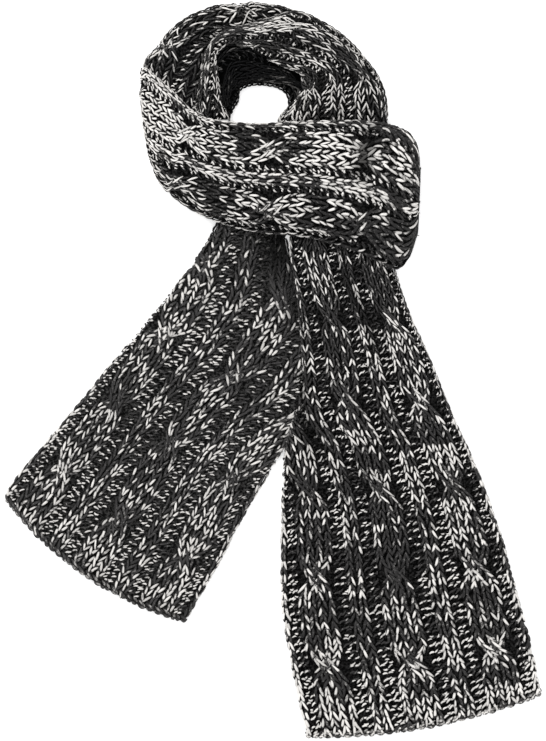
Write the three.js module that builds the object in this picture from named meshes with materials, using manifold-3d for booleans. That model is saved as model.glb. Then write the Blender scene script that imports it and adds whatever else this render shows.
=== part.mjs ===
// A cable-knit scarf wound once round an empty neck hole and laid flat, its two tails spread.
// Millimetres, +Z up, origin under the middle of the whole on the surface that it lies on.
import * as THREE from 'three';
import { mergeVertices } from 'three/addons/utils/BufferGeometryUtils.js';
import Module from 'manifold-3d';

const wasm = await Module();
wasm.setup();

// Driving dimensions
const STITCH_ROW = 6; // length of one knitted row
const BAND_ROW = 6.5; // the band is drawn out a little by its turn
const CLOTH = 5; // thickness of the bulky knit between its ribs
const SEAM_GAP = 0.4; // space left between pieces that touch
const RIB_RISE = 1.3;
const CABLE_RISE = 1.9;
const CROSSING_RISE = 1.3; // how far the upper strand climbs over the lower one
const CABLE_REPEAT = 12; // rows from one crossing to the next
const CROSSING_REACH = 3; // rows on each side of a crossing in which the strands change places
const SECTION_STEP = 12; // two rows between sections
const HEM_FOOT = 1.2; // height of the cloth's rounded lower edge
const UNDERSIDE_STEPS = 6; // facets across the plain inside of an arched wall
const NARROW_WALL = 0.35; // most of a narrow stretch's width that one side of its wall takes

// The chart: zones of wales (columns of stitches) from edge a to edge b. Purl wales draw in, so
// they take less width than the raised ones; `width` is a zone's share of the cloth's width.
const CHART = [
  { zone: 'rib', wales: 1, width: 11 },
  { zone: 'purl', wales: 2, width: 9 },
  { zone: 'cable', wales: 4, width: 37.2 },
  { zone: 'purl', wales: 2, width: 12 },
  { zone: 'rib', wales: 2, width: 18.6 },
  { zone: 'purl', wales: 2, width: 12 },
  { zone: 'cable', wales: 4, width: 37.2 },
  { zone: 'purl', wales: 2, width: 12 },
  { zone: 'rib', wales: 2, width: 18.6 },
  { zone: 'purl', wales: 2, width: 12 },
  { zone: 'cable', wales: 4, width: 37.2 },
  { zone: 'purl', wales: 2, width: 9 },
  { zone: 'rib', wales: 1, width: 11 },
];

// The chart's zones, with other widths where a stretch is drawn in more
function zonesOf(widths = {}) {
  const zones = [];
  for (const { zone, wales, width } of CHART) {
    const last = zones.at(-1) ?? { to: 0, end: 0 };
    zones.push({ zone, from: last.to, to: last.to + wales, start: last.end,
      end: last.end + (widths[zone] ?? width) });
  }
  return zones;
}
const CABLES = zonesOf().filter(({ zone }) => zone === 'cable');
const RIBS = zonesOf().filter(({ zone }) => zone === 'rib');

// Every stretch of cloth is a row of sections. A section runs from edge a to edge b, shows the
// wales waleA to waleB, is `top` high, and rounds down to footA and footB over roundA and roundB.
// `bow` bends it towards the next section's side in its middle.
const COLUMNS = ['ax', 'ay', 'bx', 'by', 'waleA', 'waleB', 'top', 'footA', 'footB', 'roundA',
  'roundB', 'bow'];

const rightTailSections = [
  [26.5, -312, 228.5, -275.5, 0, 30, 6, 1.2, 1.2, 4, 4, -11],
  [15.5, -260, 221, -238.5, 0, 30, 6, 1.2, 1.2, 4, 4, -10],
  [6, -206, 208, -189, 0, 30, 6, 1.2, 1.2, 4, 4, -7],
  [5, -149, 194.5, -141.5, 0, 30, 6, 1.2, 1.2, 4, 4, -5],
  [6.5, -102.5, 178.5, -95.5, 0.5, 30, 6.5, 1.2, 1.2, 5, 4, -4],
  [8, -68.5, 166, -66.5, 2.5, 30, 8, 1.2, 1.2, 6, 5, -2],
  [15.5, -38.5, 154, -42, 6, 30, 10, 1.2, 1.2, 8, 6, 0],
  [22, 16.5, 130, 16.5, 8, 30, 11, 1.2, 1.2, 10, 8, 0],
  [19.5, 59, 114, 52.5, 9, 30, 11, 1.2, 1.2, 10, 10, 0],
  [13.5, 95, 103.5, 84.5, 9.5, 30, 10, 1.2, 1.2, 9, 10, 0],
  [13.5, 123, 97, 110, 10, 30, 9.5, 1.2, 1.2, 8, 10, 0],
];

const leftTailSections = [
  [-74, -214.5, -228.5, -109, 0, 30, 6, 1.2, 1.2, 4, 4, 16.5],
  [-69.5, -206.5, -227, -100.5, 0, 30, 6, 1.2, 1.2, 4, 4, 16.5],
  [-44, -162, -192, -57.5, 0, 30, 6, 1.2, 1.2, 4, 4, 13],
  [-18, -112.5, -159, -18.5, 0, 30, 6, 1.2, 1.2, 4, 4, 9],
  [1.5, -80.5, -137, 8, 1, 29.5, 6, 1.2, 1.2, 4, 4, 7],
  [17, -51.5, -115.5, 33.5, 4, 29, 6, 1.2, 1.2, 4, 5, 5],
  [24.5, -16, -98.5, 54, 7, 28.5, 6.2, 1.2, 1.2, 4, 6, 3],
  [27, 25, -80, 77, 10.5, 27, 6.6, 1.2, 1.2, 5, 7, 2],
  [23, 67.5, -60.5, 102.5, 12.5, 26, 7.5, 1.2, 1.2, 6, 8, 0],
  [12.5, 105, -49.5, 123.5, 14.5, 25.5, 9, 1.2, 1.2, 8, 9, 0],
  [11.5, 132, -37, 145, 16, 24, 9, 1.2, 1.2, 8, 9, 0],
];

// The band runs from its fold at the right to its turn over the left side.
const bandSections = [
  [121.5, 113.5, 124, 174, 2.5, 21.5, 12, 0, 0, 14, 14, 0],
  [118, 103.5, 122.5, 186.5, 2.5, 21.5, 20, 0, 3, 18, 18, 0],
  [113, 93, 118, 197, 2.5, 21.5, 26, 4, 9, 22, 20, 0],
  [103, 85.5, 107, 205.5, 2.5, 21.5, 31, 10.8, 12.8, 26, 20, 0],
  [75, 98, 78, 211, 2.5, 21.5, 32, 10.8, 12.8, 28, 18, 0],
  [30, 106.5, 31.5, 210.5, 2.5, 21.5, 33, 10.8, 12.8, 28, 18, 0],
  [-21, 111, -18.5, 208.5, 2.5, 21.5, 32.5, 10.8, 12.8, 28, 18, 0],
  [-60, 126, -57, 213, 2.5, 21.5, 30, 9.6, 12.8, 28, 18, 0],
  [-85, 144, -69, 219.5, 2.5, 21.5, 27, 2, 12.5, 28, 14, 0],
  [-100, 165, -78, 228.5, 3.5, 21.5, 25.5, 0, 13, 26, 12, 0],
  [-107.5, 187, -88.5, 239, 6, 21.5, 24.5, 0, 13.5, 22, 10, 0],
  [-111.5, 210, -98, 248, 10, 21.5, 23.5, 0, 13.5, 17, 8, 0],
  [-113.5, 231, -106, 255, 14, 21.5, 22, 0, 12, 11, 5, 0],
  [-113.3, 247, -110, 259, 18, 21.5, 18, 0, 8, 6, 3, 0],
];

// The outer loop comes up from under the band at the left and goes round the outside of the top.
const outerSections = [
  [-100, 232, -64, 207, 2, 14.5, 12, 3, 5, 18, 18, 0],
  [-108, 247, -61.5, 224, 2, 14, 17, 0, 7, 20, 18, 0],
  [-110, 262, -58.5, 243, 2, 13, 20, 0, 7, 22, 18, 0],
  [-99.5, 276, -54.5, 266, 2, 11.5, 19.5, 0, 7, 18, 18, 0],
  [-75, 299, -46, 280, 2, 10, 18, 0, 7, 15, 16, 0],
  [-39, 312, -28, 287.5, 2, 8, 16.5, 0, 7, 11, 12, 0],
  [1.5, 310.5, 1, 296, 2, 6, 12.5, 0, 5, 6, 8, 0],
  [18.5, 307, 13.5, 298, 2, 4, 8, 0, 3, 4, 5, 0],
];

// The inner loop comes up from under the band at the right and goes down under it at the left.
const innerSections = [
  [13.5, 178, 97, 178, 2, 19, 10, 0, 0, 10, 14, 0],
  [2.5, 210.5, 97.5, 208.5, 0, 19, 11.6, 0, 0, 9, 18, 0],
  [12, 224, 96, 229, 0, 20, 20, 0, 0, 14, 24, 0],
  [21.5, 236, 90, 247.5, 2, 20.5, 24, 12, 0, 12, 28, 0],
  [23, 248.5, 78, 264.5, 4, 21, 26, 17, 0, 11, 28, 0],
  [8.5, 255.5, 63.5, 281, 5, 21.5, 26.5, 18, 0, 10, 28, 0],
  [-5, 262, 43, 295.5, 6, 22, 26.5, 18, 0, 9, 26, 0],
  [-14.5, 269, 18.5, 304, 7, 21, 25.5, 18, 8, 8, 18, 0],
  [-21.5, 272.5, -7, 297, 8, 20.5, 25, 18, 10, 8, 11, 0],
  [-29, 275, -24, 292.5, 9, 20, 24.5, 18, 10, 8, 8, 0],
  [-39, 275, -42, 287, 10, 19.5, 23.5, 18, 10, 5.5, 6, 0],
  [-48.5, 266.5, -58, 271.5, 10, 19, 22, 17, 10, 4.5, 5.5, 0],
  [-47.5, 250.5, -63, 250.5, 9, 18, 20, 14, 8, 6, 8, 0],
  [-44, 232.5, -67.5, 229, 8, 17, 15, 9, 6, 10, 10, 0],
  [-38.5, 217, -66.5, 214, 8, 17, 12, 3, 5, 11, 10, 0],
  [-31, 200, -59.5, 198.5, 8, 16, 10.5, 2, 4, 10, 10, 0],
];

// The layer below the inner loop's lip, which slopes down to the neck hole
const lowerSections = [
  [10, 220, 20, 222, 10, 14, 8, 0, 7, 8, 1, 0],
  [12.8, 225.5, 25.5, 229.5, 10, 15, 9.5, 0, 8.5, 11, 1, 0],
  [10.5, 235, 27, 243, 10, 17, 13, 0, 12, 14, 1, 0],
  [3, 240, 19.5, 256.5, 10, 19, 16, 0, 15, 18, 1, 0],
  [-10, 242.5, -1.5, 266.5, 10, 20, 17, 0, 16, 22, 1, 0],
  [-22, 241.5, -22, 276.5, 10, 21, 17, 0, 16, 26, 1, 0],
  [-29, 237.5, -41, 276, 10, 21, 17, 0, 16, 26, 1, 0],
  [-30.5, 228.5, -52.5, 258, 10, 20, 15, 0, 14, 24, 1, 0],
  [-35, 221.5, -50, 236, 10, 17, 12, 0, 11, 16, 1, 0],
  [-39, 213, -46.5, 219, 10, 13, 9, 0, 8, 8, 1, 0],
];

// Deep creases, each a soft trough from one wale and row to another; width and depth in mm
const FOLD_COLUMNS = ['waleFrom', 'rowFrom', 'waleTo', 'rowTo', 'width', 'depth'];
const rightTailFolds = [
  [8.6, 50, 7.4, 36, 8, 4],
  [19, 66, 22, 50, 9, 2.2],
];
const leftTailFolds = [
  [17, 62, 12, 38, 9, 2],
];
const bandFolds = [
  [20.5, 6.8, 10, 8.2, 6, 4],
];

const named = (columns, row) => Object.fromEntries(columns.map((name, i) => [name, row[i]]));

// Sections read as a smooth run, found by the length along their middles.
function stretch(rows) {
  const sections = rows.map((row) => named(COLUMNS, row));
  const along = [0];
  const middle = (s) => new THREE.Vector2((s.ax + s.bx) / 2, (s.ay + s.by) / 2);
  for (let i = 1; i < sections.length; i++) {
    along.push(along[i - 1] + middle(sections[i]).distanceTo(middle(sections[i - 1])));
  }
  return { sections, along, length: along.at(-1) };
}

function tangent(cloth, i, name) {
  const { sections, along } = cloth;
  const before = Math.max(i - 1, 0);
  const after = Math.min(i + 1, sections.length - 1);
  return (sections[after][name] - sections[before][name]) / (along[after] - along[before]);
}

function sectionAt(cloth, distance) {
  const { sections, along } = cloth;
  let i = 0;
  while (i < sections.length - 2 && distance > along[i + 1]) i++;
  const span = along[i + 1] - along[i];
  const f = THREE.MathUtils.clamp((distance - along[i]) / span, 0, 1);
  const section = {};
  for (const name of COLUMNS) {
    const [p, q] = [sections[i][name], sections[i + 1][name]];
    const [m, n] = [tangent(cloth, i, name) * span, tangent(cloth, i + 1, name) * span];
    section[name] = p + m * f + (3 * (q - p) - 2 * m - n) * f ** 2 + (2 * (p - q) + m + n) * f ** 3;
  }
  section.width = Math.hypot(section.bx - section.ax, section.by - section.ay);
  section.footA = Math.max(section.footA, 0);
  section.footB = Math.max(section.footB, 0);
  const beyond = distance - THREE.MathUtils.clamp(distance, 0, cloth.length);
  const ahead = [(section.by - section.ay) / section.width, (section.ax - section.bx) / section.width];
  const turn = Math.sign(ahead[0] * middleStep(cloth, i, 'x') + ahead[1] * middleStep(cloth, i, 'y'));
  for (const edge of ['a', 'b']) {
    section[`${edge}x`] += ahead[0] * turn * beyond;
    section[`${edge}y`] += ahead[1] * turn * beyond;
  }
  return section;
}

function middleStep(cloth, i, axis) {
  const [here, next] = [cloth.sections[i], cloth.sections[i + 1]];
  return next[`a${axis}`] + next[`b${axis}`] - here[`a${axis}`] - here[`b${axis}`];
}

// A level top that rounds down in a quarter ellipse at each edge, by fraction of its length
function profilePoint(shape, fraction) {
  const { width, top, footA, footB } = shape;
  const roundA = Math.min(shape.roundA, width * 0.49);
  const roundB = Math.min(shape.roundB, width * 0.49);
  const quarter = (round, rise) => Math.PI * Math.hypot(round, rise) / Math.SQRT2 / 2;
  const lengthA = quarter(roundA, top - footA);
  const lengthB = quarter(roundB, top - footB);
  const level = width - roundA - roundB;
  const reached = fraction * (lengthA + level + lengthB);
  if (reached < lengthA) {
    const angle = reached / lengthA * Math.PI / 2;
    return { across: roundA - roundA * Math.cos(angle), height: footA + (top - footA) * Math.sin(angle),
      outX: -Math.cos(angle), outZ: Math.sin(angle) };
  }
  if (reached <= lengthA + level) {
    return { across: roundA + reached - lengthA, height: top, outX: 0, outZ: 1 };
  }
  const angle = (reached - lengthA - level) / lengthB * Math.PI / 2;
  return { across: width - roundB + roundB * Math.sin(angle),
    height: footB + (top - footB) * Math.cos(angle), outX: Math.sin(angle), outZ: Math.cos(angle) };
}

// Cables, ribs and creases
const bump = (offset, halfWidth) => Math.max(0, 1 - Math.abs(offset / halfWidth) ** 3);

function cableRise(wale, row, cable, { hand, firstCrossing }) {
  const centre = (cable.from + cable.to) / 2;
  const phase = THREE.MathUtils.euclideanModulo(row - firstCrossing + CABLE_REPEAT / 2, CABLE_REPEAT);
  const turn = THREE.MathUtils.clamp((phase - CABLE_REPEAT / 2) / CROSSING_REACH, -1, 1);
  const sway = Math.sin(turn * Math.PI / 2) * hand;
  const climb = Math.cos(turn * Math.PI / 2);
  const upper = bump(wale - centre + sway, 1.05) * (CABLE_RISE + CROSSING_RISE * climb);
  const lower = bump(wale - centre - sway, 1.05) * CABLE_RISE;
  return Math.max(upper, lower);
}

function rise(wale, row, options) {
  for (const rib of RIBS) {
    if (wale > rib.from && wale < rib.to) {
      return RIB_RISE * bump(wale - (rib.from + rib.to) / 2, (rib.to - rib.from) / 2 + 0.02);
    }
  }
  for (const cable of CABLES) {
    if (wale > cable.from && wale < cable.to) return cableRise(wale, row, cable, options);
  }
  return 0;
}

function crease(wale, row, { folds, zones }) {
  let depth = 0;
  for (const fold of folds) {
    const start = new THREE.Vector2(chartWidth(zones, fold.waleFrom), fold.rowFrom * STITCH_ROW);
    const run = new THREE.Vector2(chartWidth(zones, fold.waleTo), fold.rowTo * STITCH_ROW).sub(start);
    const offset = new THREE.Vector2(chartWidth(zones, wale), row * STITCH_ROW).sub(start);
    const f = THREE.MathUtils.clamp(offset.dot(run) / run.lengthSq(), 0, 1);
    const away = offset.addScaledVector(run, -f).length();
    depth += fold.depth * Math.min(1, 0.3 + 4 * f, 4 * (1 - f)) * Math.exp(-((away / fold.width) ** 2));
  }
  return depth;
}

// Width between the cloth's edge and a wale, and the wale at a fraction of a section's width
function chartWidth(zones, wale) {
  const zone = zones.find(({ to }) => wale <= to) ?? zones.at(-1);
  return THREE.MathUtils.mapLinear(wale, zone.from, zone.to, zone.start, zone.end);
}

function waleAt(zones, section, fraction) {
  const [widthA, widthB] = [chartWidth(zones, section.waleA), chartWidth(zones, section.waleB)];
  const width = THREE.MathUtils.lerp(widthA, widthB, fraction);
  const zone = zones.find(({ end }) => width <= end) ?? zones.at(-1);
  return THREE.MathUtils.mapLinear(width, zone.start, zone.end, zone.from, zone.to);
}

// Wales at which a section has a point: the sides, shoulders and middles of what is raised
function raisedWales(waleA, waleB) {
  const wales = new Set();
  for (const { from, to } of RIBS) [from + 0.05, (from + to) / 2, to - 0.05].forEach((w) => wales.add(w));
  for (const { from, to } of CABLES) {
    [0.05, 0.6, 1.4, 2, 2.6, 3.4, to - from - 0.05].forEach((w) => wales.add(from + w));
  }
  return [...wales].sort((p, q) => p - q).filter((w) => w > waleA + 0.3 && w < waleB - 0.3);
}

// Fractions of a section at which it has points, the same number in every section of a stretch
function acrossFractions(columns) {
  return [0, 0.04, 0.09, ...columns, 0.91, 0.96, 1];
}

function place(section, across, height) {
  const f = across / section.width;
  const bow = section.bow * 4 * f * (1 - f);
  const [dx, dy] = [(section.bx - section.ax) / section.width, (section.by - section.ay) / section.width];
  return [section.ax + dx * across - dy * bow, section.ay + dy * across + dx * bow, height];
}

// One closed body from rings of points. The first `outerCount` points of a ring run over its
// outside and the rest come back along its underside, so each end is a strip between the two.
function ringBody(rings, outerCount) {
  const size = rings[0].length;
  const faces = [];
  for (let r = 0; r < rings.length - 1; r++) {
    for (let i = 0; i < size; i++) {
      const [a, b] = [r * size + i, r * size + (i + 1) % size];
      faces.push(a, b, b + size, a, b + size, a + size);
    }
  }
  const closeEnd = (start, flip) => {
    const [outerSteps, underSteps] = [outerCount - 1, size - outerCount - 1];
    for (let i = 0, j = 0; i < outerSteps || j < underSteps;) {
      const [p, q] = [start + i, start + size - 1 - j];
      const outerNext = j >= underSteps || (i < outerSteps && (i + 1) * underSteps <= (j + 1) * outerSteps);
      const next = outerNext ? p + 1 : q - 1;
      faces.push(...(flip ? [q, p, next] : [p, q, next]));
      if (outerNext) i++;
      else j++;
    }
  };
  closeEnd(0, false);
  closeEnd((rings.length - 1) * size, true);
  return solidOf(rings.flat(2), faces);
}

function solidOf(points, faces) {
  const build = (indices) => {
    const mesh = new wasm.Mesh({ numProp: 3, vertProperties: new Float32Array(points),
      triVerts: new Uint32Array(indices) });
    return new wasm.Manifold(mesh);
  };
  const solid = build(faces);
  if (solid.volume() > 0) return solid;
  const turned = [];
  for (let i = 0; i < faces.length; i += 3) turned.push(faces[i], faces[i + 2], faces[i + 1]);
  return build(turned);
}

function stations({ from, to, grow }) {
  const count = Math.max(2, Math.round((to - from) / SECTION_STEP));
  const inner = Array.from({ length: count + 1 }, (_, i) => from + (to - from) * i / count);
  return grow ? [from - grow, ...inner, to + grow] : inner;
}

// The outside of a stretch: its profile with the cables, ribs and creases, faded towards plain ends
function outerPoints(cloth, section, distance, options) {
  const row = distance / options.row;
  const fade = options.fade ? options.fade(distance) : 1;
  return options.fractions.map((fraction) => {
    const wale = waleAt(options.zones, section, fraction);
    const at = profilePoint(section, fraction);
    const edge = Math.min(1, fraction / 0.06, (1 - fraction) / 0.06);
    const raised = fade * edge * (rise(wale, row, options) - crease(wale, row, options));
    const out = raised + options.grow + (options.clearance ?? 0);
    return [at.across + at.outX * out, at.height + at.outZ * out];
  });
}

// Cloth that lies flat on the surface
function flatCloth(cloth, options) {
  const rings = stations(options).map((distance) => {
    const section = sectionAt(cloth, distance);
    const outer = outerPoints(cloth, section, distance, options);
    const inset = HEM_FOOT - options.grow;
    const under = [[section.width - inset, -options.grow], [inset, -options.grow]];
    return [...outer, ...under].map(([across, height]) => place(section, across, height));
  });
  return ringBody(rings, options.fractions.length);
}

// Cloth that arches over the layers inside it
function archedCloth(cloth, options) {
  const rings = stations(options).map((distance) => {
    const section = sectionAt(cloth, distance);
    const outer = outerPoints(cloth, section, distance, options);
    const inside = insideOf(section, options.grow);
    const under = Array.from({ length: UNDERSIDE_STEPS + 1 }, (_, i) => {
      const at = profilePoint(inside, 1 - i / UNDERSIDE_STEPS);
      return [at.across + inside.depth, at.height];
    });
    const drop = (point) => [point[0], point[1] - options.grow];
    const ring = [...outer, ...under];
    ring[0] = drop(ring[0]);
    ring[outer.length - 1] = drop(ring[outer.length - 1]);
    ring[outer.length] = drop(ring[outer.length]);
    ring[ring.length - 1] = drop(ring[ring.length - 1]);
    return ring.map(([across, height]) => place(section, across, height));
  });
  return ringBody(rings, options.fractions.length);
}

function insideOf(section, gap) {
  const depth = Math.min(CLOTH, section.width * NARROW_WALL) + gap;
  const top = Math.max(section.top - depth, Math.max(section.footA, section.footB) + 0.4 - gap);
  return { ...section, depth, top, width: section.width - 2 * depth,
    roundA: Math.max(section.roundA - depth, 0.4), roundB: Math.max(section.roundB - depth, 0.4) };
}

// The layers that an arched stretch hides, as one rounded body on the surface
function packedLayers(cloth, from, to) {
  const rings = stations({ from, to, grow: 0 }).map((distance) => {
    const section = sectionAt(cloth, distance);
    const inside = insideOf(section, SEAM_GAP);
    const { depth } = inside;
    const outer = Array.from({ length: UNDERSIDE_STEPS + 1 }, (_, i) => {
      const at = profilePoint(inside, i / UNDERSIDE_STEPS);
      return [at.across + depth, at.height - SEAM_GAP];
    });
    const reachA = section.footA > 3 ? 1.5 : depth - 0.5;
    const reachB = section.footB > 3 ? 1.5 : depth - 0.5;
    const [sideA, sideB] = [section.footA, section.footB].map((foot) => Math.max(foot - SEAM_GAP, 0.4));
    const arch = outer.map(([across, height], i) => {
      const low = THREE.MathUtils.lerp(sideA, sideB, i / UNDERSIDE_STEPS) + 0.1;
      return [across, Math.max(height, low)];
    });
    const ring = [[reachA, 0], [reachA, sideA], ...arch, [section.width - reachB, sideB],
      [section.width - reachB, 0]];
    return ring.map(([across, height]) => place(section, across, height));
  });
  return ringBody(rings, UNDERSIDE_STEPS + 3);
}

const largest = (solid) => solid.decompose().sort((p, q) => q.volume() - p.volume())[0];

function bodyMesh(name, solid, material) {
  const { vertProperties, triVerts } = largest(solid).getMesh();
  let geometry = new THREE.BufferGeometry();
  geometry.setAttribute('position', new THREE.BufferAttribute(new Float32Array(vertProperties), 3));
  geometry.setIndex(new THREE.BufferAttribute(new Uint32Array(triVerts), 1));
  geometry = mergeVertices(geometry, 1e-4);
  geometry.computeVertexNormals();
  const mesh = new THREE.Mesh(geometry, material);
  mesh.name = name;
  return mesh;
}

const knit = (color) => new THREE.MeshStandardMaterial({ color, roughness: 0.95, metalness: 0 });

// The pieces
const foldsOf = (rows) => rows.map((row) => named(FOLD_COLUMNS, row));
const middleColumns = (cloth, at, zones) => {
  const { waleA, waleB } = sectionAt(cloth, at);
  const [widthA, widthB] = [chartWidth(zones, waleA), chartWidth(zones, waleB)];
  return raisedWales(waleA, waleB).map((wale) => (chartWidth(zones, wale) - widthA) / (widthB - widthA))
    .filter((fraction) => fraction > 0.115 && fraction < 0.885);
};

function stretchOptions(cloth, { widths, columnsAt = cloth.length / 2, ...extra }) {
  const zones = zonesOf(widths);
  return { from: 0, to: cloth.length, grow: 0, folds: [], row: STITCH_ROW, hand: 1, firstCrossing: 9,
    zones, fractions: acrossFractions(middleColumns(cloth, columnsAt, zones)), ...extra };
}

const rightTail = stretch(rightTailSections);
const leftTail = stretch(leftTailSections);
const band = stretch(bandSections);
const outer = stretch(outerSections);
const inner = stretch(innerSections);
const lower = stretch(lowerSections);

const UNDER_BAND = 22; // how far the tails go on, plain, under the band
const fadeOut = (from, to) => (distance) => 1 - THREE.MathUtils.smoothstep(distance, from, to);

const rightOptions = stretchOptions(rightTail, { columnsAt: 60, folds: foldsOf(rightTailFolds),
  fade: fadeOut(rightTail.length - UNDER_BAND - 16, rightTail.length - UNDER_BAND) });
const leftOptions = stretchOptions(leftTail, { columnsAt: 60, folds: foldsOf(leftTailFolds), hand: -1,
  fade: fadeOut(leftTail.length - UNDER_BAND - 16, leftTail.length - UNDER_BAND) });
const bandOptions = stretchOptions(band, { columnsAt: 80, folds: foldsOf(bandFolds), row: BAND_ROW,
  firstCrossing: 7.5, widths: { purl: 7, rib: 12 } });
const outerOptions = stretchOptions(outer, { columnsAt: outer.along[2], row: BAND_ROW,
  firstCrossing: 8, widths: { purl: 8 } });
const innerOptions = stretchOptions(inner, { columnsAt: inner.along[4],
  firstCrossing: 11, widths: { purl: 9 },
  fade: (distance) => THREE.MathUtils.smoothstep(distance, inner.along[1], inner.along[2])
    * (1 - THREE.MathUtils.smoothstep(distance, inner.along[13], inner.along[14])) });
const lowerOptions = stretchOptions(lower, { fade: () => 0 });

const grown = (make, cloth, options) => make(cloth, { ...options, grow: SEAM_GAP });
// The space that a stretch needs among the hidden layers: no ribs, but room for them
const plainCutter = (make, cloth, options) => make(cloth, { ...options, grow: SEAM_GAP,
  fade: () => 0, clearance: CABLE_RISE, fractions: acrossFractions([0.2, 0.35, 0.5, 0.65, 0.8]) });

const leftSolid = flatCloth(leftTail, leftOptions);
const leftGrown = grown(flatCloth, leftTail, leftOptions);
const rightSolid = flatCloth(rightTail, rightOptions).subtract(leftGrown);
const bandSolid = archedCloth(band, bandOptions);
const bandGrown = grown(archedCloth, band, bandOptions);
const innerSolid = archedCloth(inner, innerOptions).subtract(bandGrown);
const innerGrown = grown(archedCloth, inner, innerOptions);
const innerFull = packedLayers(inner, 0, inner.length);
const outerSolid = archedCloth(outer, outerOptions).subtract(bandGrown).subtract(innerGrown)
  .subtract(innerFull);
const lowerSolid = archedCloth(lower, lowerOptions).subtract(innerGrown).subtract(bandGrown);
const hidden = [packedLayers(band, band.along[1], band.along[12]),
  packedLayers(outer, outer.along[1], outer.along[6]), innerFull,
  packedLayers(lower, 0, lower.length)].reduce((whole, layer) => whole.add(layer));
const hiddenSolid = [
  plainCutter(flatCloth, leftTail, leftOptions), plainCutter(flatCloth, rightTail, rightOptions),
  plainCutter(archedCloth, band, bandOptions), plainCutter(archedCloth, outer, outerOptions),
  plainCutter(archedCloth, inner, innerOptions), plainCutter(archedCloth, lower, lowerOptions),
  bandGrown, grown(archedCloth, outer, outerOptions),
].reduce((whole, cloth) => whole.subtract(cloth), hidden);

const scarf = new THREE.Group();
scarf.add(bodyMesh('right_tail', rightSolid, knit('#4a4948')));
scarf.add(bodyMesh('left_tail', leftSolid, knit('#454443')));
scarf.add(bodyMesh('front_band', bandSolid, knit('#6b6967')));
scarf.add(bodyMesh('outer_loop', outerSolid, knit('#4f4d4c')));
scarf.add(bodyMesh('inner_loop', innerSolid, knit('#444241')));
scarf.add(bodyMesh('lower_loop', lowerSolid, knit('#1d1d1e')));
scarf.add(bodyMesh('hidden_layers', hiddenSolid, knit('#2a2a2b')));

export default scarf;
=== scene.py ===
# Cable-knit scarf, wound once and laid flat, seen from straight above. Metres, in the part's own frame.
import math

import bpy
import numpy as np
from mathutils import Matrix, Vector


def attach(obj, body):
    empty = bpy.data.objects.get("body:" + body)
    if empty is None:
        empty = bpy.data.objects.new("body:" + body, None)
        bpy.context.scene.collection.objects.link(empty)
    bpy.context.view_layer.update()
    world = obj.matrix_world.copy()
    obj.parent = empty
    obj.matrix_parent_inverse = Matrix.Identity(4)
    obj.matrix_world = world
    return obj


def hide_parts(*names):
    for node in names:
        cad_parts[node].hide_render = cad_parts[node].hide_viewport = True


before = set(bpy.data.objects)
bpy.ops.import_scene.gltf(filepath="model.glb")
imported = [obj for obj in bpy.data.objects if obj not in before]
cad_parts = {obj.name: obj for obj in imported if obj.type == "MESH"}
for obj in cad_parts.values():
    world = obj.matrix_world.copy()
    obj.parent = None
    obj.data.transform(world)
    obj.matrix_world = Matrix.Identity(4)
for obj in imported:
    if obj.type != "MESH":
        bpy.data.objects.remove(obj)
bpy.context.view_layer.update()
mm = 0.001

# Camera
view = {"height": 2.2, "centre": (-0.85 * mm, -0.85 * mm), "longSide": 0.62985, "plane": 0.008}


def makeCamera():
    data = bpy.data.cameras.new("camera")
    data.lens = data.sensor_width * (view["height"] - view["plane"]) / view["longSide"]
    data.clip_start, data.clip_end = 0.1, 20
    camera = bpy.data.objects.new("camera", data)
    camera.location = (*view["centre"], view["height"])  # looks straight down, +Y up in the picture
    bpy.context.scene.collection.objects.link(camera)
    bpy.context.scene.camera = camera


makeCamera()
print("camera set")

# Knit chart: columns of stitches (wales) across the cloth, and each zone's share of its width
chart = [("edge", 1, 11.0), ("purl", 2, 9.0), ("cable", 4, 37.2), ("purl", 2, 12.0), ("rib", 2, 18.6),
         ("purl", 2, 12.0), ("cable", 4, 37.2), ("purl", 2, 12.0), ("rib", 2, 18.6), ("purl", 2, 12.0),
         ("cable", 4, 37.2), ("purl", 2, 9.0), ("edge", 1, 11.0)]
# the cloth in mm; its cables cross once in `repeat` rows, within `reach` rows to each side
knit = {"row": 6.0, "wale": 9, "ribRise": 1.3, "cableRise": 1.9, "crossingRise": 1.3, "repeat": 12,
        "reach": 3.0, "strandHalf": 1.1, "over": 0.3, "under": -1.5, "sunk": 0.9, "cloth": 5.0}
# how uneven it lies: a wave so many wales wide and so many mm long, none of it at the very edge
wave = {"wales": 4.5, "length": 34.0, "edge": 0.06}
# a knit stitch's leg: half width and opening in wales, reach in rows, height in mm
leg = {"halfWidth": 0.168, "height": 1.25, "reach": 1.35, "open": 0.43, "apex": 0.06, "jitter": 0.07,
       "rings": 6, "sides": 6}
# a purl stitch's loop, seen from its back; its foot lies this many mm deeper than its head
bump = {"halfWidth": 0.125, "height": 1.1, "bow": 0.16, "slant": 0.16, "foot": 0.35, "jitter": 0.09,
        "rings": 5, "sides": 6}
# the thin cloth under the stitches, in mm
ground = {"below": 2.2, "thick": 2.4, "walesPerPoint": 0.5, "step": 3.0, "rest": 0.3, "least": 0.5}
# a strand's half width and half height in mm, its thinnest share at the tips, and its least height
strand = {"widths": (0.7, 1.6), "heights": (0.65, 1.4), "usual": 1.3, "tip": 0.22, "floor": 0.1}
# the bound-off hem's knobs and strands, half width and half height in mm, and how dim its light ply is
hem = {"knob": (1.5, 2.3), "strand": (1.25, 1.2), "dim": 0.35}
# marled tone: drifts and streaks by wales and rows, how much of it is chance, how soft light meets dark
drifts = {"wales": 3.1, "rows": 3.4, "share": 0.45, "streakWales": 5.5, "streakRows": 0.93, "slant": 0.37,
          "chance": 0.6, "soft": 0.3}

zoneStarts = np.cumsum([0] + [wales for _, wales, _ in chart]).astype(float)


def chartWidth(piece, wale):  # how far across the cloth a wale lies; purl wales draw in
    widths = [piece.get(kind + "Width", width) for kind, _, width in chart]
    return np.interp(wale, zoneStarts, np.cumsum([0] + widths))


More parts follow.
